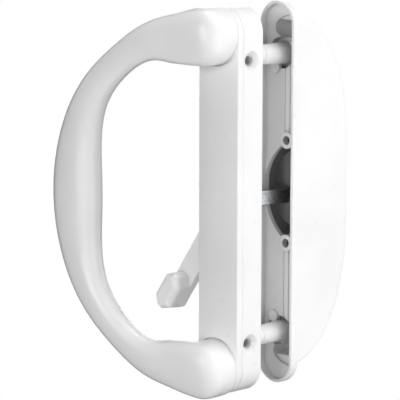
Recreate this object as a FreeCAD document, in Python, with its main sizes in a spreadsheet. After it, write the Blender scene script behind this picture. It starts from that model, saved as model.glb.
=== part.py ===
import FreeCAD, Part
import math
import os
import types
import Sketcher

# Sliding door handle set: inside pull with latch lever, outside pull with wing.
# X runs across the door, Y out through it and Z up, so the room is on the -Y side.
# The origin is the middle of the inside base's rear face, which lies on the door.
# Levels are distances from that face towards the room; behind it they are negative.

doc = FreeCAD.newDocument("door_latch_handle")
sheet = doc.addObject("Spreadsheet::Sheet", "dims")

SIZES = {
    # mounting base
    "base_half_width": 9.5,
    "foot_inset": 0.2,
    "base_depth": 9.3,
    "base_floor": 2.0,
    "base_wall": 2.0,
    "seam_round": 0.3,
    # screws through the door, and the bosses and posts that meet around them
    "post_height": 50.0,
    "boss_radius": 3.4,
    "boss_length": 8.2,
    "joint_bevel": 0.25,
    "door_screw_radius": 2.1,
    "door_screw_head_radius": 3.9,
    "door_screw_head_height": 2.4,
    "door_screw_reach": 21.0,
    "screw_clearance": 0.2,
    "thread_gap": 0.05,
    "recess_half_length": 1.9,
    "recess_half_width": 0.45,
    "recess_depth": 1.3,
    # side screw holes
    "side_hole_height": 49.6,
    "side_hole_radius": 1.85,
    "side_hole_mouth_radius": 3.43,
    "side_hole_level": 5.4,
    # face plate
    "plate_thickness": 2.8,
    "plate_edge_round": 0.5,
    "crown_height": 1.1,
    "foot_gap": 0.5,
    "ear_thickness": 2.3,
    "ear_half_height": 3.5,
    "ear_length": 6.4,
    "ear_hole_radius": 1.6,
    "fit_gap": 0.2,
    # feet and bow of the pull handle
    "foot_height": 58.3,
    "foot_half_width": 9.3,
    "foot_half_length": 10.2,
    "foot_rise": 12.7,
    "heel_rise": 2.4,
    "heel_set_out": 1.8,
    "bow_reach": 52.3,
    "bow_rise": 18.1,
    "neck_reach": 11.8,
    "neck_rise": 11.9,
    "neck_drop": 1.35,
    "throat_reach": 21.0,
    "throat_rise": 14.7,
    "throat_drop": 3.4,
    "arm_reach": 30.0,
    "arm_rise": 16.4,
    "arm_drop": 8.8,
    "shoulder_reach": 43.6,
    "shoulder_rise": 18.0,
    "shoulder_drop": 22.1,
    "neck_half_width": 8.25,
    "neck_half_thickness": 5.5,
    "throat_half_width": 6.3,
    "throat_half_thickness": 5.1,
    "arm_half_width": 5.4,
    "arm_half_thickness": 4.9,
    "shoulder_half_width": 6.2,
    "shoulder_half_thickness": 5.1,
    "grip_half_width": 10.1,
    "grip_half_thickness": 7.0,
    "bow_squareness": 2.2,
    # screws and spring washers that hold the feet to the face plate
    "foot_screw_radius": 2.0,
    "foot_screw_head_radius": 3.6,
    "foot_screw_head_height": 2.2,
    "foot_screw_reach": 9.0,
    "washer_thickness": 0.8,
    "washer_radius": 3.4,
    # latch lever
    "rest_angle": 35.0,
    "lever_level": 4.7,
    "lever_thickness": 3.0,
    "lever_half_width": 4.05,
    "lever_length": 49.6,
    "lever_corner": 2.2,
    "knob_length": 14.9,
    "knob_rise": 6.5,
    "knob_corner": 2.9,
    "knob_round": 2.5,
    "knob_side_round": 1.2,
    "hub_radius": 6.5,
    "journal_radius": 4.7,
    "running_gap": 0.15,
    "lever_gap": 0.3,
    "pin_radius": 2.5,
    "spring_washer_radius": 5.8,
    "spring_washer_thickness": 0.4,
    # tailpiece
    "tail_half_width": 2.4,
    "tail_half_thickness": 0.8,
    "tail_reach": 24.0,
    "tail_bevel": 1.2,
    "tail_socket_depth": 5.0,
    "tail_play": 0.25,
    "tail_droop": 3.0,
    # outside pull
    "door_gap": 17.0,
    "pull_half_width": 8.2,
    "pull_overhang": 1.8,
    "pull_rim": 1.1,
    "pull_floor_depth": 2.3,
    "pull_edge_depth": 4.2,
    "pull_edge_round": 1.6,
    "rim_round": 0.4,
    "floor_thickness": 0.8,
    "wing_reach": 28.1,
    "wing_straight_half": 16.1,
    "wing_corner_height": 46.1,
    "wing_lift": 1.5,
    "wing_tip_thickness": 3.4,
    "scoop_radius": 22.0,
    "shell_wall": 1.6,
    "post_root_radius": 4.05,
    "post_well_radius": 5.6,
    "post_well_depth": 3.0,
    "post_hole_depth": 14.0,
    "hollow_lift": 0.8,
    "hollow_radius": 20.2,
    "hollow_offset": 12.5,
    "end_hollow_half_width": 9.3,
    "end_hollow_half_height": 4.9,
    "end_hollow_depth": 9.0,
    "end_hollow_offset": 6.5,
    "end_hollow_height": 58.2,
    "tread_offset": 1.9,
    "second_tread_offset": 4.0,
    "tread_drop": 0.3,
    "slope_drop": 1.2,
    "stud_height": 18.4,
    "stud_offset": 3.4,
    "stud_radius": 3.0,
    "stud_hole_radius": 1.6,
    "stud_rise": 0.7,
    "pad_height": 44.8,
    "pad_offset": 2.4,
    "pad_radius": 2.1,
    "pad_rise": 0.8,
    "root_depth": 4.0,
}
for row, (alias, number) in enumerate(SIZES.items(), start=1):
    sheet.set("A%d" % row, alias)
    sheet.set("B%d" % row, str(number))
    sheet.setAlias("B%d" % row, alias)
doc.recompute()


class Size:
    """A number together with the formula that the document keeps for it."""

    def __init__(self, value, formula):
        self.value = value
        self.formula = formula

    def __add__(self, other):
        other = as_size(other)
        return Size(self.value + other.value, "(%s + %s)" % (self.formula, other.formula))

    def __sub__(self, other):
        other = as_size(other)
        return Size(self.value - other.value, "(%s - %s)" % (self.formula, other.formula))

    def __mul__(self, other):
        other = as_size(other)
        return Size(self.value * other.value, "(%s * %s)" % (self.formula, other.formula))

    def __truediv__(self, other):
        other = as_size(other)
        return Size(self.value / other.value, "(%s / %s)" % (self.formula, other.formula))

    def __neg__(self):
        return Size(-self.value, "(-1 * %s)" % self.formula)


def as_size(thing):
    return thing if isinstance(thing, Size) else Size(float(thing), repr(float(thing)))


def sine(angle):
    return Size(math.sin(math.radians(angle.value)), "sin(%s)" % angle.formula)


def tangent(angle):
    return Size(math.tan(math.radians(angle.value)), "tan(%s)" % angle.formula)


S = types.SimpleNamespace(**{alias: Size(float(sheet.get(alias)), "dims." + alias) for alias in SIZES})
plate_front = S.base_depth + S.plate_thickness
lever_front = S.lever_level + S.lever_thickness
pull_floor = S.door_gap + S.pull_floor_depth
base_end = S.foot_height + S.foot_inset
pull_end = base_end + S.pull_overhang
UPPER_AND_LOWER = (("upper", 1), ("lower", -1))
BEYOND = 1.0


def bind(feature, prop, amount):
    """Tie one property of a feature to the sheet."""
    feature.setExpression(prop, as_size(amount).formula)
    return feature


# Sketches, whose points and radii are tied to the sheet

def new_body(label):
    made = doc.addObject("PartDesign::Body", label)
    made.Label = label
    return made


def body_sketch(body, role, level=None):
    """A sketch on one of the body's own planes, moved along the plane's normal to a level."""
    made = body.newObject("Sketcher::SketchObject", body.Label + "_sketch")
    plane = next(f for f in body.Origin.OriginFeatures if f.Role == role)
    made.AttachmentSupport = [(plane, "")]
    made.MapMode = "FlatFace"
    if level is not None:
        bind(made, "AttachmentOffset.Base.z", level)
    return made


def hold(sketch, shape, point, across, up):
    """Fix a point of the sketch at a place; a zero puts it on an axis."""
    for kind, axis, amount in (("DistanceX", -2, across), ("DistanceY", -1, up)):
        amount = as_size(amount)
        if amount.value == 0:
            sketch.addConstraint(Sketcher.Constraint("PointOnObject", shape, point, axis))
        else:
            index = sketch.addConstraint(
                Sketcher.Constraint(kind, -1, 1, shape, point, amount.value))
            bind(sketch, "Constraints[%d]" % index, amount)


def draw_circle(sketch, across, up, radius):
    across, up, radius = as_size(across), as_size(up), as_size(radius)
    middle = FreeCAD.Vector(across.value, up.value, 0)
    shape = sketch.addGeometry(Part.Circle(middle, FreeCAD.Vector(0, 0, 1), radius.value))
    index = sketch.addConstraint(Sketcher.Constraint("Radius", shape, radius.value))
    bind(sketch, "Constraints[%d]" % index, radius)
    hold(sketch, shape, 3, across, up)


def draw_polygon(sketch, corners):
    """A closed outline of straight lines through corners given as (across, up)."""
    corners = [(as_size(a), as_size(u)) for a, u in corners]
    spots = [FreeCAD.Vector(a.value, u.value, 0) for a, u in corners]
    count = len(spots)
    lines = [sketch.addGeometry(Part.LineSegment(spots[i], spots[(i + 1) % count]))
             for i in range(count)]
    for i, line in enumerate(lines):
        follower = lines[(i + 1) % count]
        sketch.addConstraint(Sketcher.Constraint("Coincident", line, 2, follower, 1))
        hold(sketch, line, 1, *corners[i])


def draw_rectangle(sketch, left, right, low, high):
    draw_polygon(sketch, [(left, low), (right, low), (right, high), (left, high)])


def draw_stadium(sketch, radius, centre):
    """An upright outline with two round ends, whose centres are above and below the origin."""
    radius, centre = as_size(radius), as_size(centre)
    wide, tall = radius.value, centre.value
    normal = FreeCAD.Vector(0, 0, 1)
    top = sketch.addGeometry(Part.ArcOfCircle(
        Part.Circle(FreeCAD.Vector(0, tall, 0), normal, wide), 0, math.pi))
    left = sketch.addGeometry(Part.LineSegment(
        FreeCAD.Vector(-wide, tall, 0), FreeCAD.Vector(-wide, -tall, 0)))
    bottom = sketch.addGeometry(Part.ArcOfCircle(
        Part.Circle(FreeCAD.Vector(0, -tall, 0), normal, wide), math.pi, 2 * math.pi))
    right = sketch.addGeometry(Part.LineSegment(
        FreeCAD.Vector(wide, -tall, 0), FreeCAD.Vector(wide, tall, 0)))
    for first, second in ((top, left), (left, bottom), (bottom, right), (right, top)):
        sketch.addConstraint(Sketcher.Constraint("Tangent", first, 2, second, 1))
    sketch.addConstraint(Sketcher.Constraint("Equal", top, bottom))
    sketch.addConstraint(Sketcher.Constraint("Symmetric", top, 3, bottom, 3, -1, 1))
    index = sketch.addConstraint(Sketcher.Constraint("Radius", top, wide))
    bind(sketch, "Constraints[%d]" % index, radius)
    hold(sketch, top, 3, 0, centre)


# Features of a body

def pad(body, sketch, length, rearwards=False, midplane=False):
    made = body.newObject("PartDesign::Pad", body.Label + "_pad")
    made.Profile = sketch
    made.Reversed = rearwards
    made.Midplane = midplane
    bind(made, "Length", length)
    return made


def pocket(body, sketch, depth=None, other_way=False, both_ways=False):
    """Cuts against the sketch's normal, or along it; without a depth it cuts right through."""
    made = body.newObject("PartDesign::Pocket", body.Label + "_pocket")
    made.Profile = sketch
    made.Reversed = other_way
    made.Midplane = both_ways
    if depth is None:
        made.Type = "ThroughAll"
    else:
        bind(made, "Length", depth)
    return made


def round_rims(body, base, level, radius):
    """Round every edge of a body that lies at one level."""
    doc.recompute()
    height = -as_size(level).value
    rims = ["Edge%d" % (i + 1) for i, edge in enumerate(base.Shape.Edges)
            if max(abs(edge.BoundBox.YMin - height), abs(edge.BoundBox.YMax - height)) < 1e-4]
    rounding = body.newObject("PartDesign::Fillet", body.Label + "_round")
    rounding.Base = (base, rims)
    bind(rounding, "Radius", radius)
    return rounding


def round_uprights(body, base, level, radius):
    """Round the edges that run straight along Y through one level."""
    doc.recompute()
    height = -level.value
    edges = []
    for number, edge in enumerate(base.Shape.Edges, start=1):
        box = edge.BoundBox
        if box.XLength < 1e-4 and box.ZLength < 1e-4 and box.YMin < height < box.YMax:
            edges.append("Edge%d" % number)
    rounding = body.newObject("PartDesign::Fillet", body.Label + "_upright_round")
    rounding.Base = (base, edges)
    bind(rounding, "Radius", radius)
    return rounding


def turned_body(label, corners, height):
    """A body turned about the Y axis from corners (radius, level), then set at a height."""
    body = new_body(label)
    profile = body_sketch(body, "XY_Plane")
    draw_polygon(profile, [(radius, -as_size(level)) for radius, level in corners])
    turn = body.newObject("PartDesign::Revolution", label + "_turn")
    turn.Profile = profile
    turn.ReferenceAxis = (profile, ["V_Axis"])
    turn.Angle = 360.0
    bind(body, "Placement.Base.z", height)
    return body


def cross_recess(body, level, to_room):
    """The cross recess of a screw's head, cut in from the head's end."""
    for wide, tall in ((S.recess_half_length, S.recess_half_width),
                       (S.recess_half_width, S.recess_half_length)):
        cross = body_sketch(body, "XZ_Plane", level)
        draw_rectangle(cross, -wide, wide, -tall, tall)
        pocket(body, cross, S.recess_depth, other_way=not to_room)


# Mounting base: an open box with bosses behind, a bearing for the lever and its slot

def build_mounting_base():
    body = new_body("mounting_base")
    outline = body_sketch(body, "XZ_Plane")
    draw_stadium(outline, S.base_half_width, base_end)
    block = pad(body, outline, S.base_depth)
    round_rims(body, block, S.base_depth, S.seam_round)
    inside = body_sketch(body, "XZ_Plane", S.base_depth)
    draw_stadium(inside, S.base_half_width - S.base_wall, base_end)
    pocket(body, inside, S.base_depth - S.base_floor)
    bosses = body_sketch(body, "XZ_Plane")
    for _, side in UPPER_AND_LOWER:
        draw_circle(bosses, 0, S.post_height * side, S.boss_radius)
    bossed = pad(body, bosses, S.boss_length, rearwards=True)
    round_rims(body, bossed, -S.boss_length, S.joint_bevel)
    bores = body_sketch(body, "XZ_Plane")
    draw_circle(bores, 0, 0, S.journal_radius + S.running_gap)
    for _, side in UPPER_AND_LOWER:
        draw_circle(bores, 0, S.post_height * side, S.door_screw_radius + S.screw_clearance)
    pocket(body, bores, both_ways=True)
    slot = body_sketch(body, "YZ_Plane")
    half = (S.base_half_width / tangent(S.rest_angle)
            + S.lever_half_width / sine(S.rest_angle) + S.lever_gap * 2)
    draw_rectangle(slot, -(lever_front + S.lever_gap), -(S.lever_level - S.lever_gap), -half, half)
    pocket(body, slot)
    side_holes = body_sketch(body, "YZ_Plane")
    for _, side in UPPER_AND_LOWER:
        draw_circle(side_holes, -S.side_hole_level, S.side_hole_height * side, S.side_hole_radius)
    pocket(body, side_holes, other_way=True)
    for _, side in UPPER_AND_LOWER:
        sink_side_hole(body, side)
    return body


def sink_side_hole(body, side):
    """The right-angled countersink at a side hole's mouth."""
    cone = body_sketch(body, "XY_Plane", S.side_hole_height * side)
    bind(cone, "AttachmentOffset.Base.y", -S.side_hole_level)
    draw_polygon(cone, [
        (S.base_half_width, 0),
        (S.base_half_width, S.side_hole_mouth_radius),
        (S.base_half_width - S.side_hole_mouth_radius, 0),
    ])
    groove = body.newObject("PartDesign::Groove", "countersink")
    groove.Profile = cone
    groove.ReferenceAxis = (cone, ["H_Axis"])
    groove.Angle = 360.0
    return groove


# Face plate: closes the base, carries the two feet and the crowned bar between them

def build_face_plate():
    body = new_body("face_plate")
    outline = body_sketch(body, "XZ_Plane", S.base_depth)
    draw_stadium(outline, S.base_half_width, base_end)
    slab = pad(body, outline, S.plate_thickness)
    slab = round_rims(body, slab, plate_front, S.plate_edge_round)
    round_rims(body, slab, S.base_depth, S.seam_round)
    crown = body_sketch(body, "XY_Plane")
    draw_crown(crown, S.base_half_width - S.plate_edge_round, plate_front, S.crown_height)
    pad(body, crown, S.foot_height * 2, midplane=True)
    clear = body_sketch(body, "XZ_Plane", plate_front + S.crown_height)
    for _, side in UPPER_AND_LOWER:
        draw_circle(clear, 0, S.foot_height * side, S.foot_half_length + S.foot_gap)
    pocket(body, clear, S.crown_height)
    ears = body_sketch(body, "XZ_Plane", S.base_depth)
    outer = S.base_half_width - S.base_wall - S.fit_gap
    for _, side in UPPER_AND_LOWER:
        draw_rectangle(ears, outer - S.ear_thickness, outer,
                       S.side_hole_height * side - S.ear_half_height,
                       S.side_hole_height * side + S.ear_half_height)
    pad(body, ears, S.ear_length, rearwards=True)
    threads = body_sketch(body, "YZ_Plane")
    for _, side in UPPER_AND_LOWER:
        draw_circle(threads, -S.side_hole_level, S.side_hole_height * side, S.ear_hole_radius)
    pocket(body, threads, other_way=True)
    holes = body_sketch(body, "XZ_Plane")
    for _, side in UPPER_AND_LOWER:
        draw_circle(holes, 0, S.foot_height * side, S.foot_screw_radius + S.screw_clearance)
    pocket(body, holes, other_way=True)
    return body


def draw_crown(sketch, half, level, height):
    """A flat chord across the plate with a shallow arc on its room side."""
    radius = (half.value ** 2 + height.value ** 2) / (2 * height.value)
    middle = FreeCAD.Vector(0, -level.value - height.value + radius, 0)
    spread = math.asin(half.value / radius)
    arc = sketch.addGeometry(Part.ArcOfCircle(
        Part.Circle(middle, FreeCAD.Vector(0, 0, 1), radius),
        1.5 * math.pi - spread, 1.5 * math.pi + spread))
    chord = sketch.addGeometry(Part.LineSegment(
        FreeCAD.Vector(half.value, -level.value, 0), FreeCAD.Vector(-half.value, -level.value, 0)))
    sketch.addConstraint(Sketcher.Constraint("Coincident", arc, 2, chord, 1))
    sketch.addConstraint(Sketcher.Constraint("Coincident", chord, 2, arc, 1))
    hold(sketch, chord, 1, half, -level)
    hold(sketch, chord, 2, -half, -level)
    index = sketch.addConstraint(Sketcher.Constraint("Radius", arc, radius))
    bind(sketch, "Constraints[%d]" % index, (half * half + height * height) / (height * 2))


# Pull handle: two oval feet and a bow, one casting skinned over closely spaced sections

class Station:
    """A section's centre and its two half axes as vectors; squareness 2 is an ellipse."""

    def __init__(self, centre, wide, deep, squareness=2.0):
        self.centre = centre
        self.wide = wide
        self.deep = deep
        self.squareness = squareness

    def points(self):
        """Control points around the section, set out so that the curve they pull is the section."""
        spread = 3 / (2 + math.cos(2 * math.pi / SECTION_POINTS))
        made = []
        for step in range(SECTION_POINTS):
            turn = 2 * math.pi * step / SECTION_POINTS
            across = signed_power(math.cos(turn), 2 / self.squareness) * spread
            along = signed_power(math.sin(turn), 2 / self.squareness) * spread
            made.append(self.centre + self.wide * across + self.deep * along)
        return made


def signed_power(number, power):
    return math.copysign(abs(number) ** power, number)


SECTION_POINTS = 24
SECTION_SPACING = 3.0
BOW_SPACING = 6.0
HEEL_STEPS = 9
HEEL_CORNER = 14.0
HEEL_SQUARENESS = 2.5
HEEL_TURN_SHARE = 0.29


def bow_stations():
    """The named sections of the bow's upper half, each square to the line through them."""
    front = plate_front.value
    foot = S.foot_height.value
    named = [
        (S.neck_reach, S.neck_rise, foot - S.neck_drop.value, S.neck_half_width,
         S.neck_half_thickness),
        (S.throat_reach, S.throat_rise, foot - S.throat_drop.value, S.throat_half_width,
         S.throat_half_thickness),
        (S.arm_reach, S.arm_rise, foot - S.arm_drop.value, S.arm_half_width,
         S.arm_half_thickness),
        (S.shoulder_reach, S.shoulder_rise, foot - S.shoulder_drop.value, S.shoulder_half_width,
         S.shoulder_half_thickness),
        (S.bow_reach, S.bow_rise, 0.0, S.grip_half_width, S.grip_half_thickness),
    ]
    centres = [FreeCAD.Vector(-reach.value, -front - rise.value, height)
               for reach, rise, height, _, _ in named]
    line = Part.BSplineCurve()
    line.interpolate(Points=centres + [mirrored(c) for c in reversed(centres[:-1])])
    places = [line.length(line.FirstParameter, line.parameter(c)) if c is not centres[0] else 0.0
              for c in centres]
    middle = places[-1]
    places += [2 * middle - place for place in reversed(places[:-1])]
    widths = [wide.value for _, _, _, wide, _ in named + named[-2::-1]]
    depths = [thick.value for _, _, _, _, thick in named + named[-2::-1]]
    count = round(middle / BOW_SPACING)
    stations = []
    for step in range(count + 1):
        at = middle * step / count
        parameter = line.parameterAtDistance(at, line.FirstParameter)
        along = FreeCAD.Vector(*line.tangent(parameter)[0])
        facing = FreeCAD.Vector(0, -1, 0)
        deep = (facing - along * along.dot(facing)).normalize()
        stations.append(Station(line.value(parameter),
                                along.cross(deep) * value_at(widths, places, at),
                                deep * value_at(depths, places, at), S.bow_squareness.value))
    return stations


def heel_stations(neck):
    """The foot and the elbow over it, on rays from a hinge line inside the elbow."""
    front = plate_front.value
    height = S.foot_height.value
    sill = front + S.heel_rise.value
    hinge = FreeCAD.Vector(-S.foot_half_width.value - S.heel_set_out.value, -sill, 0)
    neck_middle = FreeCAD.Vector(neck.centre.x, neck.centre.y, 0)
    neck_deep = FreeCAD.Vector(neck.deep.x, neck.deep.y, 0)
    outer_end = neck_middle + neck_deep - hinge
    inner_end = neck_middle - neck_deep - hinge
    last = math.atan2(-outer_end.y, outer_end.x)
    span = S.heel_set_out.value + 2 * S.foot_half_width.value
    rise = S.foot_rise.value - S.heel_rise.value
    slope = (-outer_end.y - rise) / (span - outer_end.x)
    up = FreeCAD.Vector(0, 0, S.foot_half_length.value)
    across = FreeCAD.Vector(S.foot_half_width.value, 0, 0)
    stations = [Station(FreeCAD.Vector(0, -level, height), up, across)
                for level in (front, (front + sill) / 2, sill)]
    for step in range(1, HEEL_STEPS):
        share = step / HEEL_STEPS
        angle = last * share
        side_wall = span / math.cos(angle)
        front_face = (rise + slope * span) / (math.sin(angle) + slope * math.cos(angle))
        outer = (side_wall ** -HEEL_CORNER + front_face ** -HEEL_CORNER) ** (-1 / HEEL_CORNER)
        inner = S.heel_set_out.value + (inner_end.Length - S.heel_set_out.value) * share
        ray = FreeCAD.Vector(math.cos(angle), -math.sin(angle), 0)
        centre = hinge + ray * ((outer + inner) / 2)
        late = max(0.0, share - HEEL_TURN_SHARE) / (1 - HEEL_TURN_SHARE)
        centre.z = height + (neck.centre.z - height) * late
        half = S.foot_half_length.value + (neck.wide.Length - S.foot_half_length.value) * late
        squareness = (2 + (neck.squareness - 2) * share
                      + (HEEL_SQUARENESS - 2) * math.sin(math.pi * share))
        stations.append(Station(centre, FreeCAD.Vector(0, 0, half),
                                ray * ((outer - inner) / 2), squareness))
    return stations


def mirrored(vector):
    return FreeCAD.Vector(vector.x, vector.y, -vector.z)


def slope_at(values, places, index):
    before = max(index - 1, 0)
    after = min(index + 1, len(values) - 1)
    return (values[after] - values[before]) * (1 / (places[after] - places[before]))


def value_at(values, places, at):
    """The value at a place on the smooth curve through values at given places."""
    index = max(i for i in range(len(places) - 1) if i == 0 or places[i] <= at)
    span = places[index + 1] - places[index]
    share = (at - places[index]) / span
    rest = 1 - share
    return (values[index] * (rest * rest * (1 + 2 * share))
            + values[index + 1] * (share * share * (1 + 2 * rest))
            + slope_at(values, places, index) * (span * share * rest * rest)
            - slope_at(values, places, index + 1) * (span * share * share * rest))


def handle_sections():
    """Sections at even spacing over the whole handle, from the upper foot to the lower."""
    upper = bow_stations()
    upper = heel_stations(upper[0]) + upper
    lower = [Station(mirrored(s.centre), mirrored(s.wide), mirrored(s.deep), s.squareness)
             for s in reversed(upper[:-1])]
    stations = upper + lower
    places = [0.0]
    for before, after in zip(stations, stations[1:]):
        places.append(places[-1] + (after.centre - before.centre).Length)
    count = 2 * round(places[-1] / SECTION_SPACING / 2)
    sections = []
    for step in range(count + 1):
        at = places[-1] * step / count
        sections.append(Station(
            value_at([s.centre for s in stations], places, at),
            value_at([s.wide for s in stations], places, at),
            value_at([s.deep for s in stations], places, at),
            value_at([s.squareness for s in stations], places, at)).points())
    return sections


def skinned(rows):
    """A solid with one smooth skin pulled over rows of control points, and flat ends."""
    surface = Part.BSplineSurface()
    lengthwise = list(range(len(rows) - 2))
    around = list(range(len(rows[0]) + 1))
    surface.buildFromPolesMultsKnots(
        rows, [4] + [1] * (len(lengthwise) - 2) + [4], [1] * len(around), lengthwise, around,
        False, True, 3, 3)
    skin = surface.toShape()
    ends = [Part.Face(Part.Wire([surface.uIso(place).toShape()]))
            for place in (lengthwise[0], lengthwise[-1])]
    shell = Part.makeShell([skin] + ends)
    shell.sewShape()
    made = Part.Solid(shell)
    if made.Volume < 0:
        made.reverse()
    return made


def build_pull_handle():
    part = doc.addObject("Part::Feature", "pull_handle")
    part.Label = "pull_handle"
    casting = skinned(handle_sections())
    for _, side in UPPER_AND_LOWER:
        start = FreeCAD.Vector(0, -plate_front.value + BEYOND, S.foot_height.value * side)
        depth = (S.foot_screw_reach.value - S.plate_thickness.value
                 - S.washer_thickness.value + BEYOND * 2)
        radius = S.foot_screw_radius.value + S.thread_gap.value
        hole = Part.makeCylinder(radius, depth, start, FreeCAD.Vector(0, -1, 0))
        casting = casting.cut(hole)
    part.Shape = casting
    return part


# Screws and washers

HEAD_CROWN = 0.6
HEAD_SIDE = 0.5
SCREW_POINT = 0.5


def build_door_screw(name, side):
    """Pan head in the base's box, shank through the boss into the post."""
    seat = S.base_floor
    top = seat + S.door_screw_head_height
    point = S.door_screw_radius * SCREW_POINT
    body = turned_body("door_screw_" + name, [
        (0, top),
        (S.door_screw_head_radius * HEAD_CROWN, top),
        (S.door_screw_head_radius, seat + S.door_screw_head_height * HEAD_SIDE),
        (S.door_screw_head_radius, seat),
        (S.door_screw_radius, seat),
        (S.door_screw_radius, seat - S.door_screw_reach + point),
        (S.door_screw_radius - point, seat - S.door_screw_reach),
        (0, seat - S.door_screw_reach),
    ], S.post_height * side)
    cross_recess(body, top, to_room=True)
    return body


def build_foot_screw(name, side):
    """Head behind the face plate, shank through it into the foot."""
    seat = S.base_depth - S.washer_thickness
    end = seat - S.foot_screw_head_height
    point = S.foot_screw_radius * SCREW_POINT
    body = turned_body("foot_screw_" + name, [
        (0, end),
        (S.foot_screw_head_radius * HEAD_CROWN, end),
        (S.foot_screw_head_radius, seat - S.foot_screw_head_height * HEAD_SIDE),
        (S.foot_screw_head_radius, seat),
        (S.foot_screw_radius, seat),
        (S.foot_screw_radius, seat + S.foot_screw_reach - point),
        (S.foot_screw_radius - point, seat + S.foot_screw_reach),
        (0, seat + S.foot_screw_reach),
    ], S.foot_height * side)
    cross_recess(body, end, to_room=False)
    return body


def build_foot_washer(name, side):
    seat = S.base_depth - S.washer_thickness
    inner = S.foot_screw_radius + S.thread_gap
    return turned_body("foot_washer_" + name, [
        (inner, seat),
        (S.washer_radius, seat),
        (S.washer_radius, S.base_depth),
        (inner, S.base_depth),
    ], S.foot_height * side)


def build_lever_washer():
    """A dished washer between the lever's hub and the face plate, which gives it drag."""
    inner = S.pin_radius + S.fit_gap
    low = lever_front + S.running_gap
    return turned_body("lever_washer", [
        (inner, low),
        (inner, low + S.spring_washer_thickness),
        (S.spring_washer_radius, S.base_depth),
        (S.spring_washer_radius, S.base_depth - S.spring_washer_thickness),
    ], 0)


# Latch lever, drawn hanging straight down and turned to its rest angle

def build_latch_lever():
    body = new_body("latch_lever")
    hub = body_sketch(body, "XZ_Plane", S.base_floor + S.running_gap)
    draw_circle(hub, 0, 0, S.hub_radius)
    pad(body, hub, lever_front - S.base_floor - S.running_gap)
    journal = body_sketch(body, "XZ_Plane")
    draw_circle(journal, 0, 0, S.journal_radius)
    pad(body, journal, S.base_floor + S.running_gap * 2)
    pin = body_sketch(body, "XZ_Plane", lever_front)
    draw_circle(pin, 0, 0, S.pin_radius)
    pad(body, pin, S.base_depth - lever_front - S.running_gap)
    arm = body_sketch(body, "XZ_Plane", S.lever_level)
    half = S.lever_half_width
    nose = S.lever_corner
    draw_polygon(arm, [
        (-half, 0), (-half, -S.lever_length + nose), (-half + nose, -S.lever_length),
        (half - nose, -S.lever_length), (half, -S.lever_length + nose), (half, 0),
    ])
    pad(body, arm, S.lever_thickness)
    knob = body_sketch(body, "XZ_Plane", S.lever_level)
    top = -S.lever_length + S.knob_length
    cut = S.knob_corner
    draw_polygon(knob, [
        (-half + cut, top), (-half, top - cut), (-half, -S.lever_length + cut),
        (-half + cut, -S.lever_length), (half - cut, -S.lever_length),
        (half, -S.lever_length + cut), (half, top - cut), (half - cut, top),
    ])
    block = pad(body, knob, S.lever_thickness + S.knob_rise)
    block = round_uprights(body, block, lever_front, S.knob_side_round)
    round_rims(body, block, lever_front + S.knob_rise, S.knob_round)
    socket = body_sketch(body, "XZ_Plane")
    socket.AttachmentOffset = FreeCAD.Placement(
        FreeCAD.Vector(), FreeCAD.Rotation(FreeCAD.Vector(0, 0, 1), S.rest_angle.value))
    bind(socket, "AttachmentOffset.Rotation.Angle", S.rest_angle)
    thick = S.tail_half_thickness + S.thread_gap
    wide = S.tail_half_width + S.tail_play
    draw_rectangle(socket, -thick, thick, -wide, wide)
    pocket(body, socket, S.tail_socket_depth + S.tail_play, other_way=True)
    body.Placement = FreeCAD.Placement(
        FreeCAD.Vector(), FreeCAD.Rotation(FreeCAD.Vector(0, 1, 0), S.rest_angle.value))
    bind(body, "Placement.Rotation.Angle", S.rest_angle)
    return body


def build_tailpiece():
    """A flat bar loose in the hub's socket, whose far end droops and is bevelled."""
    body = new_body("tailpiece")
    flat = body_sketch(body, "YZ_Plane")
    inner = S.tail_socket_depth / 2
    far = S.tail_reach + inner
    half = S.tail_half_width
    draw_polygon(flat, [
        (-inner, -half), (far - S.tail_bevel, -half), (far, -half + S.tail_bevel),
        (far, half - S.tail_bevel), (far - S.tail_bevel, half), (-inner, half),
    ])
    pad(body, flat, S.tail_half_thickness * 2, midplane=True)
    body.Placement = FreeCAD.Placement(
        FreeCAD.Vector(), FreeCAD.Rotation(FreeCAD.Vector(-1, 0, 0), S.tail_droop.value))
    bind(body, "Placement.Rotation.Angle", S.tail_droop)
    bind(body, "Placement.Base.y", -inner)
    return body


# Outside pull: a shallow cup with a wing flush with its right side, hollow from the door side

TO_STREET = FreeCAD.Rotation(FreeCAD.Vector(1, 0, 0), -90)
UPRIGHT = FreeCAD.Rotation()
ON_EDGE = FreeCAD.Rotation(FreeCAD.Vector(0, 1, 0), -90)


def solid(kind, name, turn, place, **amounts):
    """One of the plain solids, with its place and sizes tied to the sheet."""
    made = doc.addObject(kind, name)
    made.Placement = FreeCAD.Placement(FreeCAD.Vector(), turn)
    for axis, amount in zip("xyz", place):
        bind(made, "Placement.Base." + axis, amount)
    for prop, amount in amounts.items():
        bind(made, prop, amount)
    return made


def combine(kind, name, base, tool):
    made = doc.addObject(kind, name)
    made.Base = base
    made.Tool = tool
    return made


def fuse(name, shapes):
    made = doc.addObject("Part::MultiFuse", name)
    made.Shapes = shapes
    return made


def extruded(name, profile, length):
    made = doc.addObject("Part::Extrusion", name)
    made.Base = profile
    made.DirMode = "Normal"
    made.Solid = True
    bind(made, "LengthFwd", length)
    return made


def stadium_prism(name, radius, centre, start, length):
    """An upright prism with round ends, from a distance behind the base outwards."""
    profile = doc.addObject("Sketcher::SketchObject", name + "_outline")
    profile.Placement = FreeCAD.Placement(FreeCAD.Vector(), TO_STREET)
    bind(profile, "Placement.Base.y", start)
    draw_stadium(profile, radius, centre)
    return extruded(name, profile, length)


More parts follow.
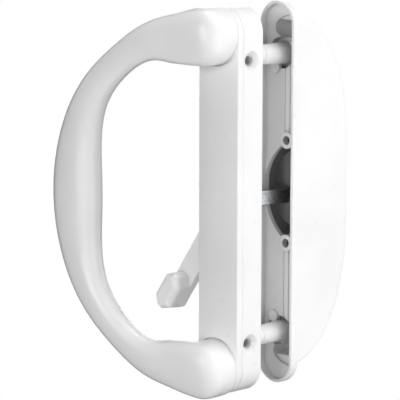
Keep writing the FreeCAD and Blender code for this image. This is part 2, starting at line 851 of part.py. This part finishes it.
def wing_side(name, reach, corner):
    """The D seen from the side: a straight outer edge with a quarter of an ellipse at each end."""
    wide = S.pull_half_width + BEYOND
    pieces = []
    for label, side in UPPER_AND_LOWER:
        curve = solid("Part::Ellipse", name + "_curve_" + label, ON_EDGE,
                      (-wide, S.door_gap, S.wing_lift + S.wing_straight_half * side),
                      MajorRadius=corner, MinorRadius=reach)
        face = doc.addObject("Part::Face", name + "_face_" + label)
        face.Sources = [curve]
        pieces.append(extruded(name + "_end_" + label, face, wide * 2))
    pieces.append(solid("Part::Box", name + "_middle", UPRIGHT,
                        (-wide, S.door_gap, S.wing_lift - S.wing_straight_half),
                        Length=wide * 2, Width=reach, Height=S.wing_straight_half * 2))
    return fuse(name, pieces)


def wing_form(name, wall, half_width):
    """The wing's form, or the form of the hollow inside it where a wall is given."""
    reach = S.wing_reach - wall
    plan = stadium_prism(name + "_plan", half_width, pull_end, S.door_gap + S.rim_round, reach)
    side = wing_side(name + "_side", reach, S.wing_corner_height - wall)
    whole = common(name + "_whole", plan, side)
    scoop_centre = S.pull_half_width - S.wing_tip_thickness - S.scoop_radius
    tall = pull_end + S.pull_half_width + BEYOND
    scoop = solid("Part::Cylinder", name + "_scoop", UPRIGHT,
                  (scoop_centre, S.door_gap + S.wing_reach, -tall),
                  Radius=S.scoop_radius + wall, Height=tall * 2)
    return combine("Part::Cut", name, whole, scoop)


def common(name, first, second):
    made = doc.addObject("Part::MultiCommon", name)
    made.Shapes = [first, second]
    return made


def hollow_bores():
    """Where the casting is hollow: behind the tailpiece, around the posts and at both ends."""
    bores = [solid("Part::Cylinder", "middle_bore", TO_STREET,
                   (S.hollow_offset, S.door_gap, S.hollow_lift),
                   Radius=S.hollow_radius, Height=S.wing_reach)]
    for name, side in UPPER_AND_LOWER:
        bores.append(solid("Part::Ellipsoid", "end_bore_" + name, UPRIGHT,
                           (S.end_hollow_offset, pull_floor,
                            S.hollow_lift + S.end_hollow_height * side),
                           Radius1=S.end_hollow_half_height, Radius2=S.end_hollow_half_width,
                           Radius3=S.end_hollow_depth))
        bores.append(solid("Part::Cylinder", "post_well_" + name, TO_STREET,
                           (0, S.door_gap, S.post_height * side), Radius=S.post_well_radius,
                           Height=S.pull_floor_depth + S.post_well_depth))
    return fuse("bores", bores)


def hollow_bound(inside_half):
    """The room that walls of even thickness leave inside the wing and behind the floor."""
    behind_floor = stadium_prism("floor_core", inside_half, pull_end, S.door_gap,
                                 S.pull_edge_depth - S.floor_thickness)
    return fuse("bound", [wing_form("core", S.shell_wall, inside_half), behind_floor])


def floor_slope():
    """The floor goes down in two treads, the second one sloping towards the wing."""
    profile = doc.addObject("Sketcher::SketchObject", "slope_profile")
    far = S.pull_half_width - S.pull_rim
    tread = pull_floor + S.tread_drop
    draw_polygon(profile, [
        (S.tread_offset, pull_floor), (far, pull_floor), (far, pull_floor + S.slope_drop),
        (S.second_tread_offset, tread + S.tread_drop), (S.second_tread_offset, tread),
        (S.tread_offset, tread),
    ])
    length = pull_end - S.pull_half_width
    bind(profile, "Placement.Base.z", -length)
    return extruded("floor_slope", profile, length * 2)


def build_outside_pull():
    inside_half = S.pull_half_width - S.pull_rim
    cup = new_body("cup")
    outline = body_sketch(cup, "XZ_Plane", -S.door_gap)
    draw_stadium(outline, S.pull_half_width, pull_end)
    block = pad(cup, outline, S.pull_edge_depth, rearwards=True)
    block = round_rims(cup, block, -(S.door_gap + S.pull_edge_depth), S.pull_edge_round)
    round_rims(cup, block, -S.door_gap, S.rim_round)
    casting = fuse("casting", [cup, wing_form("wing", as_size(0), S.pull_half_width)])
    well = stadium_prism("well", inside_half, pull_end, S.door_gap - BEYOND,
                         S.pull_floor_depth + BEYOND)
    hollow = common("hollows", hollow_bound(inside_half), hollow_bores())
    shell = combine("Part::Cut", "shell", casting, fuse("cavity", [well, hollow, floor_slope()]))
    raised = []
    drilled = []
    for name, side in UPPER_AND_LOWER:
        tip = S.boss_length
        root = pull_floor + S.root_depth
        raised.append(turned_body("post_" + name, [
            (0, -tip), (S.boss_radius - S.joint_bevel, -tip), (S.boss_radius, -tip - S.joint_bevel),
            (S.post_root_radius, -root), (0, -root),
        ], S.post_height * side))
        drilled.append(solid("Part::Cylinder", "post_hole_" + name, TO_STREET,
                             (0, tip - BEYOND, S.post_height * side),
                             Radius=S.door_screw_radius + S.thread_gap,
                             Height=S.post_hole_depth + BEYOND))
        top = pull_floor - S.stud_rise
        height = S.hollow_lift + S.stud_height * side
        raised.append(solid("Part::Cylinder", "stud_" + name, TO_STREET,
                            (S.stud_offset, top, height),
                            Radius=S.stud_radius, Height=S.stud_rise + S.root_depth))
        drilled.append(solid("Part::Cylinder", "stud_hole_" + name, TO_STREET,
                             (S.stud_offset, top - BEYOND, height),
                             Radius=S.stud_hole_radius, Height=S.root_depth + BEYOND))
        raised.append(solid("Part::Cylinder", "pad_" + name, TO_STREET,
                            (-S.pad_offset, pull_floor - S.pad_rise, S.pad_height * side),
                            Radius=S.pad_radius, Height=S.pad_rise * 2))
    bossed = fuse("bossed", [shell] + raised)
    part = combine("Part::Cut", "outside_pull", bossed, fuse("drilled", drilled))
    part.Label = "outside_pull"
    return part


parts = [build_mounting_base(), build_face_plate(), build_pull_handle(), build_latch_lever(),
         build_tailpiece(), build_lever_washer(), build_outside_pull()]
for name, side in UPPER_AND_LOWER:
    parts.append(build_door_screw(name, side))
    parts.append(build_foot_screw(name, side))
    parts.append(build_foot_washer(name, side))
doc.recompute()

faults = [thing.Name for thing in doc.Objects if {"Invalid", "Error"} & set(thing.State)]
if faults:
    raise RuntimeError("these objects did not build: " + ", ".join(faults))
for part in parts:
    if part.Shape.isNull() or not part.Shape.isValid():
        raise RuntimeError(part.Label + " has no valid shape")

os.makedirs("parts", exist_ok=True)
for part in parts:
    part.Shape.exportStep("parts/" + part.Label + ".step")
    box = part.Shape.BoundBox
    print("%-20s volume %9.1f  x %.1f %.1f  y %.1f %.1f  z %.1f %.1f" % (
        part.Label, part.Shape.Volume, box.XMin, box.XMax, box.YMin, box.YMax, box.ZMin, box.ZMax))
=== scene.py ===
# %% [markdown]
# A handle set for a sliding door. On the room side a white bow handle stands on a slim box with
# a small latch lever, and on the other side a shallow cup has a flat wing to push against.
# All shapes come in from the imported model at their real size, and they aren't changed here.
# This script gives each piece its finish, then sets up the camera, the studio and the lamps.

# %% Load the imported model
import math
import bpy
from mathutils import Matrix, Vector


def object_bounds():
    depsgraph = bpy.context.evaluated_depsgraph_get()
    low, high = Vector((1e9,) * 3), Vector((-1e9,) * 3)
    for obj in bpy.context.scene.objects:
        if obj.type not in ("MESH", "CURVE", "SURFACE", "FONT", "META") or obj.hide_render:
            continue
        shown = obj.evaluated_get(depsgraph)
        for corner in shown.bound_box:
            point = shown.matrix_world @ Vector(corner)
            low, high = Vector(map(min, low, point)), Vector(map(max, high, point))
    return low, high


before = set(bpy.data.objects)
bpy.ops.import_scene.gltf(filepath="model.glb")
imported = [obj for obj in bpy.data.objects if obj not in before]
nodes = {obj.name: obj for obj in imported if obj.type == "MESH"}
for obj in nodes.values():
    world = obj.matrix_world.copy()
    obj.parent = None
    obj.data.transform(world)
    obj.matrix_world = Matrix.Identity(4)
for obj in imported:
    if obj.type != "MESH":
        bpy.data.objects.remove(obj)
cad_box = [list(corner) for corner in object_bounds()]
print("pieces:", ", ".join(sorted(nodes)))

# %% [markdown]
# Blender works in metres, and the details of a handle are known in millimetres, so a millimetre
# gets its own name. The box around the model is measured at once, as a check on the units: the
# handle set is about 137 mm tall.

# %% Units
MM = 0.001
lowest, highest = (Vector(corner) for corner in cad_box)
print("size in mm:", [round(side / MM, 1) for side in highest - lowest])

# %% [markdown]
# Colours are picked on a screen as sRGB hex values, but a renderer adds and multiplies light, so
# it needs them linear. One function does that for every colour in this script.

# %% Colours


def linear(hex_colour):
    """An sRGB hex colour as linear red, green, blue and alpha."""
    channels = [int(hex_colour[i:i + 2], 16) / 255 for i in (1, 3, 5)]
    return [c / 12.92 if c <= 0.04045 else ((c + 0.055) / 1.055) ** 2.4 for c in channels] + [1.0]


print("mid grey #808080, linear:", [round(c, 3) for c in linear("#808080")[:3]])

# %% [markdown]
# A material is a small graph of nodes. Three helpers keep the graphs short to read: one adds any
# node with its settings and links, one starts a material and hands back its main shader, and one
# multiplies two outputs.
# A link names a socket, with _ for a space, and gives it a value or another node's output.

# %% Helpers for materials


def add_node(tree, kind, settings=None, **links):
    """Add a node with its settings. A link gives a socket a value or another node's output."""
    made = tree.nodes.new(kind)
    for name, value in (settings or {}).items():
        setattr(made, name, value)
    for name, value in links.items():
        socket = made.inputs[name.replace("_", " ")]
        if isinstance(value, bpy.types.NodeSocket):
            tree.links.new(value, socket)
        else:
            socket.default_value = value
    return made


def new_material(name):
    """A material with only a Principled shader and an output."""
    made = bpy.data.materials.new(name)
    made.use_nodes = True
    shader = next(n for n in made.node_tree.nodes if n.type == "BSDF_PRINCIPLED")
    return made, made.node_tree, shader


def times(tree, one, other):
    product = add_node(tree, "ShaderNodeMath", {"operation": "MULTIPLY"})
    tree.links.new(one, product.inputs[0])
    tree.links.new(other, product.inputs[1])
    return product.outputs[0]


# %% [markdown]
# The handle, its plate, the box, the lever and the outside cup are zinc die castings, sprayed
# white and baked in an oven. Enamel is a gloss paint: it flows out nearly flat and keeps a faint
# orange peel of waves one to two millimetres long and a few thousandths of a millimetre high.
# The peel could be real displacement, but at that height a bump does the same for far less.

# %% Orange peel of the enamel
PEEL_WAVE = 1.4 * MM
PEEL_HEIGHT = 0.008 * MM


def orange_peel(tree, place):
    waves = add_node(tree, "ShaderNodeTexNoise", Vector=place, Scale=1 / PEEL_WAVE, Detail=1.5)
    return add_node(tree, "ShaderNodeBump", Height=waves.outputs["Fac"], Strength=1.0,
                    Distance=PEEL_HEIGHT)


print("peel waves on the bow's length:", round(137 * MM / PEEL_WAVE))

# %% [markdown]
# Dust that settles while the paint is wet stays in it as nibs: tiny bumps, about half a
# millimetre wide and a centimetre apart. They are what makes a sprayed surface look sprayed.
# A Voronoi texture gives scattered points, and only the ground right around each is raised.

# %% Dust nibs in the paint
NIB_SPACING = 9.0 * MM
NIB_RADIUS = 0.28 * MM
NIB_HEIGHT = 0.03 * MM


def dust_nibs(tree, place, normal):
    cells = add_node(tree, "ShaderNodeTexVoronoi", Vector=place, Scale=1 / NIB_SPACING)
    rise = add_node(tree, "ShaderNodeMapRange", {"interpolation_type": "SMOOTHSTEP"},
                    Value=cells.outputs["Distance"], From_Min=0.0,
                    From_Max=NIB_RADIUS / NIB_SPACING, To_Min=1.0, To_Max=0.0)
    return add_node(tree, "ShaderNodeBump", Height=rise.outputs["Result"], Strength=1.0,
                    Distance=NIB_HEIGHT, Normal=normal)


print("one nib in every", NIB_SPACING / MM, "mm")

# %% [markdown]
# The coat isn't one flat colour. It is a little thinner here and thicker there, so the white
# drifts between two close tones over a few centimetres, and the gloss drifts with it. The drift
# is kept faint: stronger, it would read as dirt.

# %% Drift of the coat's tone and gloss
DRIFT_LENGTH = 22.0 * MM
GLOSS_PATCH = 5.0 * MM
THICK_COAT = "#F9F9F9"
THIN_COAT = "#F4F4F4"
DRIFT_FROM, DRIFT_TO = 0.35, 0.65
SMOOTHEST, ROUGHEST = 0.24, 0.36


def coat_tone(tree, place):
    drift = add_node(tree, "ShaderNodeTexNoise", Vector=place, Scale=1 / DRIFT_LENGTH, Detail=2.0)
    ramp = add_node(tree, "ShaderNodeValToRGB", Fac=drift.outputs["Fac"])
    ramp.color_ramp.elements[0].position = DRIFT_FROM
    ramp.color_ramp.elements[0].color = linear(THIN_COAT)
    ramp.color_ramp.elements[1].position = DRIFT_TO
    ramp.color_ramp.elements[1].color = linear(THICK_COAT)
    return ramp.outputs["Color"]


def coat_gloss(tree, place):
    patches = add_node(tree, "ShaderNodeTexNoise", Vector=place, Scale=1 / GLOSS_PATCH, Detail=3.0)
    gloss = add_node(tree, "ShaderNodeMapRange", Value=patches.outputs["Fac"],
                     To_Min=SMOOTHEST, To_Max=ROUGHEST)
    return gloss.outputs["Result"]


# %% [markdown]
# Each casting's recesses are painted darker, a shade duller than its faces: this is painted shade,
# and its strength was set against the photograph. If each casting is sprayed by itself, from
# outside, its recesses get a leaner coat that is a shade duller than the faces. That is a guess,
# and its strength was set by eye against the photograph. How far a point is shut in by its own
# casting is what an Ambient Occlusion node measures, so it sets how much shade is painted there.

# %% Painted shade in the recesses
RECESS_REACH = 11.0 * MM
RECESS_SHADE_SHARE = 0.6
SHUT_SKY, OPEN_SKY = 0.2, 0.85


def recess_painted_shade(tree):
    """1 on open faces, and less in recesses, where shade is painted into the colour."""
    open_sky = add_node(tree, "ShaderNodeAmbientOcclusion", {"samples": 8, "only_local": True},
                        Distance=RECESS_REACH)
    unshaded_share = add_node(tree, "ShaderNodeMapRange", Value=open_sky.outputs["AO"],
                     From_Min=SHUT_SKY, From_Max=OPEN_SKY, To_Min=RECESS_SHADE_SHARE, To_Max=1.0)
    return unshaded_share.outputs["Result"]


print("a recess keeps", RECESS_SHADE_SHARE, "of the white")

# %% [markdown]
# The photograph shows the hollow behind the outside pull's wing nearly black. Shade alone leaves
# it mid grey here, so shade is painted into its colour too. The tone was set against the
# photograph, and it is darker than clean zinc would be. The hollow lies behind the cup's floor and
# near mid height. It is told from the wing's own rear face by being shut in, and its floor by
# facing the door. These places are this model's own, measured behind the base.

# %% Painted shade in the hollow behind the wing
HOLLOW_DEPTH = 20.7 * MM
HOLLOW_HALF_HEIGHT = 46.0 * MM
HOLLOW_REACH = 30.0 * MM
HOLLOW_FLOOR = 22.5 * MM
DEPTH_FADE = 0.6 * MM
HEIGHT_FADE = 2.0 * MM
HOLLOW_SHUT_SKY, HOLLOW_OPEN_SKY = 0.6, 0.85
WALL_SHARE = 0.8
FACING_DOOR, FACING_ASIDE = -0.4, -0.1
HOLLOW_SHADE_SHARE = 0.05


def hollow_painted_shade(tree, place):
    """1 outside the hollow behind the wing, and down to a twentieth in it: painted shade."""
    axes = add_node(tree, "ShaderNodeSeparateXYZ", Vector=place)
    behind = add_node(tree, "ShaderNodeMapRange", Value=axes.outputs["Y"],
                      From_Min=HOLLOW_DEPTH, From_Max=HOLLOW_DEPTH + DEPTH_FADE)
    height = add_node(tree, "ShaderNodeMath", {"operation": "ABSOLUTE"})
    tree.links.new(axes.outputs["Z"], height.inputs[0])
    between = add_node(tree, "ShaderNodeMapRange", Value=height.outputs[0],
                       From_Min=HOLLOW_HALF_HEIGHT - HEIGHT_FADE, From_Max=HOLLOW_HALF_HEIGHT,
                       To_Min=1.0, To_Max=0.0)
    open_sky = add_node(tree, "ShaderNodeAmbientOcclusion", {"samples": 8, "only_local": True},
                        Distance=HOLLOW_REACH)
    shut_in = add_node(tree, "ShaderNodeMapRange", Value=open_sky.outputs["AO"],
                       From_Min=HOLLOW_SHUT_SKY, From_Max=HOLLOW_OPEN_SKY,
                       To_Min=WALL_SHARE, To_Max=0.0)
    facing = add_node(tree, "ShaderNodeSeparateXYZ",
                      Vector=add_node(tree, "ShaderNodeNewGeometry").outputs["Normal"])
    faces_door = add_node(tree, "ShaderNodeMapRange", Value=facing.outputs["Y"],
                          From_Min=FACING_DOOR, From_Max=FACING_ASIDE, To_Min=1.0, To_Max=0.0)
    deep = add_node(tree, "ShaderNodeMapRange", Value=axes.outputs["Y"],
                    From_Min=HOLLOW_FLOOR, From_Max=HOLLOW_FLOOR + DEPTH_FADE)
    hollow_shade_mask = add_node(tree, "ShaderNodeMath", {"operation": "MAXIMUM"})
    tree.links.new(shut_in.outputs["Result"], hollow_shade_mask.inputs[0])
    tree.links.new(times(tree, faces_door.outputs["Result"], deep.outputs["Result"]),
                   hollow_shade_mask.inputs[1])
    inside = times(tree, times(tree, behind.outputs["Result"], between.outputs["Result"]),
                   hollow_shade_mask.outputs[0])
    unshaded_share = add_node(tree, "ShaderNodeMapRange", Value=inside, To_Min=1.0, To_Max=HOLLOW_SHADE_SHARE)
    return unshaded_share.outputs["Result"]


print("the hollow begins", HOLLOW_DEPTH / MM, "mm behind the base's rear face")

# %% [markdown]
# No edge of a casting is sharp. The die is rounded, and wet paint pulls back from an edge and
# rounds it more. A Bevel node bends the normals near an edge, which gives that soft line of
# light without a change to the mesh.

# %% Baked white enamel
EDGE_ROUND = 0.5 * MM
ENAMEL_IOR = 1.5


def baked_enamel(name, with_hollow_shade=False):
    made, tree, shader = new_material(name)
    place = add_node(tree, "ShaderNodeTexCoord").outputs["Object"]
    soft_edge = add_node(tree, "ShaderNodeBevel", {"samples": 4}, Radius=EDGE_ROUND)
    peel = orange_peel(tree, place)
    tree.links.new(soft_edge.outputs["Normal"], peel.inputs["Normal"])
    nibs = dust_nibs(tree, place, peel.outputs["Normal"])
    tree.links.new(nibs.outputs["Normal"], shader.inputs["Normal"])
    # The colour is darkened in the recesses, and for the outside pull also in the hollow behind
    # its wing: painted shade.
    unshaded_share = recess_painted_shade(tree)
    if with_hollow_shade:
        unshaded_share = times(tree, unshaded_share, hollow_painted_shade(tree, place))
    coat = add_node(tree, "ShaderNodeVectorMath", {"operation": "SCALE"},
                    Vector=coat_tone(tree, place), Scale=unshaded_share)
    tree.links.new(coat.outputs["Vector"], shader.inputs["Base Color"])
    tree.links.new(coat_gloss(tree, place), shader.inputs["Roughness"])
    shader.inputs["IOR"].default_value = ENAMEL_IOR
    return made


enamel = baked_enamel("baked_white_enamel")
# The outside pull's enamel also has shade painted into the hollow behind its wing.
pull_enamel = baked_enamel("baked_white_enamel_with_painted_hollow_shade", with_hollow_shade=True)
print("made", enamel.name, "and", pull_enamel.name)

# %% [markdown]
# The tailpiece is a strip of cold rolled steel, cut to length and zinc plated. The rollers leave
# fine lines along it, and the zinc grows as small crystals that each catch the light their own
# way. The lines are a noise stretched along the strip. Real ones are hundredths of a millimetre
# wide; they are drawn at 0.2 mm, because finer ones wouldn't show.

# %% Zinc plated rolled strip
ROLL_LINE_WIDTH = 0.2 * MM
ROLL_LINE_LENGTH = 9.0 * MM
CRYSTAL = 0.7 * MM


def plated_strip():
    made, tree, shader = new_material("zinc_plated_rolled_strip")
    place = add_node(tree, "ShaderNodeTexCoord").outputs["Object"]
    across = 1 / ROLL_LINE_WIDTH
    along = 1 / ROLL_LINE_LENGTH
    stretched = add_node(tree, "ShaderNodeMapping", Vector=place, Scale=(across, along, across))
    lines = add_node(tree, "ShaderNodeTexNoise", Vector=stretched.outputs["Vector"], Scale=1.0,
                     Detail=2.0)
    rough = add_node(tree, "ShaderNodeMapRange", Value=lines.outputs["Fac"],
                     To_Min=0.2, To_Max=0.5)
    crystals = add_node(tree, "ShaderNodeTexVoronoi", Vector=place, Scale=1 / CRYSTAL)
    tone = add_node(tree, "ShaderNodeValToRGB", Fac=crystals.outputs["Color"])
    tone.color_ramp.elements[0].color = linear("#9A9DA0")
    tone.color_ramp.elements[1].color = linear("#D2D4D6")
    ridges = add_node(tree, "ShaderNodeBump", Height=lines.outputs["Fac"], Strength=1.0,
                      Distance=0.01 * MM)
    tree.links.new(tone.outputs["Color"], shader.inputs["Base Color"])
    tree.links.new(rough.outputs["Result"], shader.inputs["Roughness"])
    tree.links.new(ridges.outputs["Normal"], shader.inputs["Normal"])
    shader.inputs["Metallic"].default_value = 1.0
    return made


strip = plated_strip()
print("made", strip.name, "with crystals of", CRYSTAL / MM, "mm")

# %% [markdown]
# The screws and washers are cold headed from wire and plated in a barrel with hundreds of others,
# which knock against each other. That leaves a soft, even grain of small dents instead of lines.

# %% Barrel plated steel
DENT = 0.35 * MM


def barrel_plated_steel():
    made, tree, shader = new_material("barrel_plated_steel")
    place = add_node(tree, "ShaderNodeTexCoord").outputs["Object"]
    dents = add_node(tree, "ShaderNodeTexNoise", Vector=place, Scale=1 / DENT, Detail=2.0)
    rough = add_node(tree, "ShaderNodeMapRange", Value=dents.outputs["Fac"],
                     To_Min=0.25, To_Max=0.45)
    relief = add_node(tree, "ShaderNodeBump", Height=dents.outputs["Fac"], Strength=1.0,
                      Distance=0.01 * MM)
    tree.links.new(rough.outputs["Result"], shader.inputs["Roughness"])
    tree.links.new(relief.outputs["Normal"], shader.inputs["Normal"])
    shader.inputs["Base Color"].default_value = linear("#C3C6C8")
    shader.inputs["Metallic"].default_value = 1.0
    return made


hardware = barrel_plated_steel()
print("made", hardware.name)

# %% [markdown]
# Each piece gets the finish that it has on the real set. The meshes come from curved solids as
# small flat faces, so they are shaded smooth, and only edges steeper than the angle stay sharp.

# %% Give every piece its finish
PAINTED = ("mounting_base", "face_plate", "pull_handle", "latch_lever")
SHARP_FROM = math.radians(28)
for name, node in nodes.items():
    if name in PAINTED:
        finish = enamel
    elif name == "outside_pull":
        finish = pull_enamel
    elif name == "tailpiece":
        finish = strip
    else:
        finish = hardware
    node.data.materials.clear()
    node.data.materials.append(finish)
    node.data.shade_smooth()
    node.data.set_sharp_from_angle(angle=SHARP_FROM)
    print("%-18s %s" % (name, finish.name))

# %% [markdown]
# The photograph was taken from the right and a little above, from well back with a long lens,
# so upright lines stay upright. The angles, the distance and the aim were worked out from the
# corners of the box and the plate, whose sizes are known.

# %% Camera
CAMERA_AZIMUTH = math.radians(45.2)
CAMERA_ELEVATION = math.radians(9.2)
CAMERA_ROLL = math.radians(0.16)
CAMERA_DISTANCE = 868 * MM
CAMERA_AIM = Vector((-10.37, -10.53, -0.42)) * MM
FOCAL_LENGTH = 223.2
SENSOR = 36.0


def from_angles(azimuth, elevation):
    """A direction from the object: azimuth 0 is the room side, and 90 degrees is the right."""
    return Vector((math.sin(azimuth) * math.cos(elevation),
                   -math.cos(azimuth) * math.cos(elevation),
                   math.sin(elevation)))


def add_camera():
    data = bpy.data.cameras.new("camera")
    data.lens = FOCAL_LENGTH
    data.sensor_width = SENSOR
    made = bpy.data.objects.new("camera", data)
    bpy.context.scene.collection.objects.link(made)
    away = from_angles(CAMERA_AZIMUTH, CAMERA_ELEVATION)
    made.location = CAMERA_AIM + away * CAMERA_DISTANCE
    made.rotation_euler = (-away).to_track_quat("-Z", "Y").to_euler()
    made.rotation_euler.rotate_axis("Z", CAMERA_ROLL)
    bpy.context.scene.camera = made
    return made


print("camera at", [round(c / MM) for c in add_camera().location], "mm")

# %% [markdown]
# Soft light comes from large lamps. Two stand close on the right, which makes the right sides the
# brightest and lets the light fall off towards the bow. One in front and one overhead fill the
# rest, and weak ones from below and behind stand for the light that a white table throws back.
# The one at the left rear lights the far sides only, which the photograph doesn't show.
# Each lamp is a square panel that faces the object, listed by its direction and distance.

# %% Lamps
LAMPS = (
    # name, azimuth, elevation, distance in m, side in m, watts
    ("overhead", 180, 80, 1.2, 0.6, 6.5),
    ("front", 12, 10, 1.2, 0.6, 6.6),
    ("right_front", 40, 0, 1.2, 0.6, 2.4),
    ("right_high", 120, 45, 1.2, 0.6, 3.3),
    ("right_rear", 150, 10, 1.2, 0.6, 3.8),
    ("right_low", 120, -25, 1.2, 0.6, 2.8),
    ("left_rear", 215, 15, 1.2, 0.6, 4.0),
    ("right_close", 105, 0, 0.3, 0.2, 0.24),
    ("right_close_front", 75, 0, 0.3, 0.2, 0.12),
)


def add_lamp(name, azimuth, elevation, distance, side, watts):
    data = bpy.data.lights.new(name, "AREA")
    data.shape = "SQUARE"
    data.size = side
    data.energy = watts
    made = bpy.data.objects.new(name, data)
    bpy.context.scene.collection.objects.link(made)
    direction = from_angles(math.radians(azimuth), math.radians(elevation))
    made.location = direction * distance
    made.rotation_euler = (-direction).to_track_quat("-Z", "Y").to_euler()


for lamp in LAMPS:
    add_lamp(*lamp)
print(len(LAMPS), "lamps,", round(sum(lamp[-1] for lamp in LAMPS), 1), "W in all")

# %% [markdown]
# The background is plain white. The eye, mirror reflections and clear materials see white at a
# strength of 1, and the object gets no light from it, so the white never washes the enamel out.
# The same Light Path switch serves the world and the floor.

# %% Switch for the white background


def background_switch(tree):
    """1 for what the camera, a reflection or a clear material sees, and 0 for lighting."""
    path = add_node(tree, "ShaderNodeLightPath")
    looking = add_node(tree, "ShaderNodeMath", {"operation": "MAXIMUM"})
    tree.links.new(path.outputs["Is Camera Ray"], looking.inputs[0])
    tree.links.new(path.outputs["Is Glossy Ray"], looking.inputs[1])
    switch = add_node(tree, "ShaderNodeMath", {"operation": "MAXIMUM"})
    tree.links.new(looking.outputs[0], switch.inputs[0])
    tree.links.new(path.outputs["Is Transmission Ray"], switch.inputs[1])
    return switch.outputs[0]


# %% World


def set_world():
    world = bpy.data.worlds.new("studio")
    bpy.context.scene.world = world
    world.use_nodes = True
    tree = world.node_tree
    tree.nodes.clear()
    white = add_node(tree, "ShaderNodeBackground", Color=(1, 1, 1, 1),
                     Strength=background_switch(tree))
    add_node(tree, "ShaderNodeOutputWorld", Surface=white.outputs[0])
    return world


print("world:", set_world().name)

# %% [markdown]
# The set hangs in the air as it would on a door, so the floor lies well below it. It is a sheet
# of white paper. For lighting it is real paper, which throws soft light back up and takes the
# object's shadow. To the camera it shows that shading over white, so lit paper is plain white.

# %% Floor
FLOOR_DROP = 1400 * MM
FLOOR_HALF = 2.5
PAPER_GLOW = 0.96


def add_floor():
    height = lowest.z - FLOOR_DROP
    mesh = bpy.data.meshes.new("floor")
    corners = [(-FLOOR_HALF, -FLOOR_HALF), (FLOOR_HALF, -FLOOR_HALF),
               (FLOOR_HALF, FLOOR_HALF), (-FLOOR_HALF, FLOOR_HALF)]
    mesh.from_pydata([(x, y, height) for x, y in corners], [], [(0, 1, 2, 3)])
    floor = bpy.data.objects.new("floor", mesh)
    bpy.context.scene.collection.objects.link(floor)
    made, tree, shader = new_material("white_paper")
    shader.inputs["Base Color"].default_value = linear("#FAFAFA")
    shader.inputs["Roughness"].default_value = 0.9
    shader.inputs["Emission Color"].default_value = (1, 1, 1, 1)
    glow = add_node(tree, "ShaderNodeMath", {"operation": "MULTIPLY"})
    tree.links.new(background_switch(tree), glow.inputs[0])
    glow.inputs[1].default_value = PAPER_GLOW
    tree.links.new(glow.outputs[0], shader.inputs["Emission Strength"])
    mesh.materials.append(made)
    return floor


print("floor at", round(add_floor().data.vertices[0].co.z / MM), "mm")

# %% [markdown]
# White on white has no outline, and photographers cure that with black cards. They stand behind
# the object just out of the picture, and each rounded edge mirrors them as a thin dark line.
# Here the four cards are one ring around the view, which only reflections can see.

# %% Black cards around the view
CARD_BEHIND = 1200 * MM
CARD_INNER = 172 * MM
CARD_OUTER = 1500 * MM


def add_cards():
    away = from_angles(CAMERA_AZIMUTH, CAMERA_ELEVATION)
    right = Vector((math.cos(CAMERA_AZIMUTH), math.sin(CAMERA_AZIMUTH), 0))
    up = away.cross(right)
    centre = CAMERA_AIM - away * CARD_BEHIND
    corners = [centre + right * (x * reach) + up * (y * reach)
               for reach in (CARD_INNER, CARD_OUTER)
               for x, y in ((-1, -1), (1, -1), (1, 1), (-1, 1))]
    mesh = bpy.data.meshes.new("black_cards")
    mesh.from_pydata([tuple(corner) for corner in corners], [],
                     [(0, 1, 5, 4), (1, 2, 6, 5), (2, 3, 7, 6), (3, 0, 4, 7)])
    cards = bpy.data.objects.new("black_cards", mesh)
    bpy.context.scene.collection.objects.link(cards)
    cards.visible_camera = False
    cards.visible_diffuse = False
    cards.visible_transmission = False
    cards.visible_shadow = False
    made, _, shader = new_material("black_card")
    shader.inputs["Base Color"].default_value = linear("#1A1A1A")
    shader.inputs["Roughness"].default_value = 0.9
    mesh.materials.append(made)
    return cards


print("cards:", len(add_cards().data.polygons))

# %% [markdown]
# The colours are shown as they are worked out, with no film look over them.

# %% Show the colours with no film look
bpy.context.scene.view_settings.view_transform = "Standard"
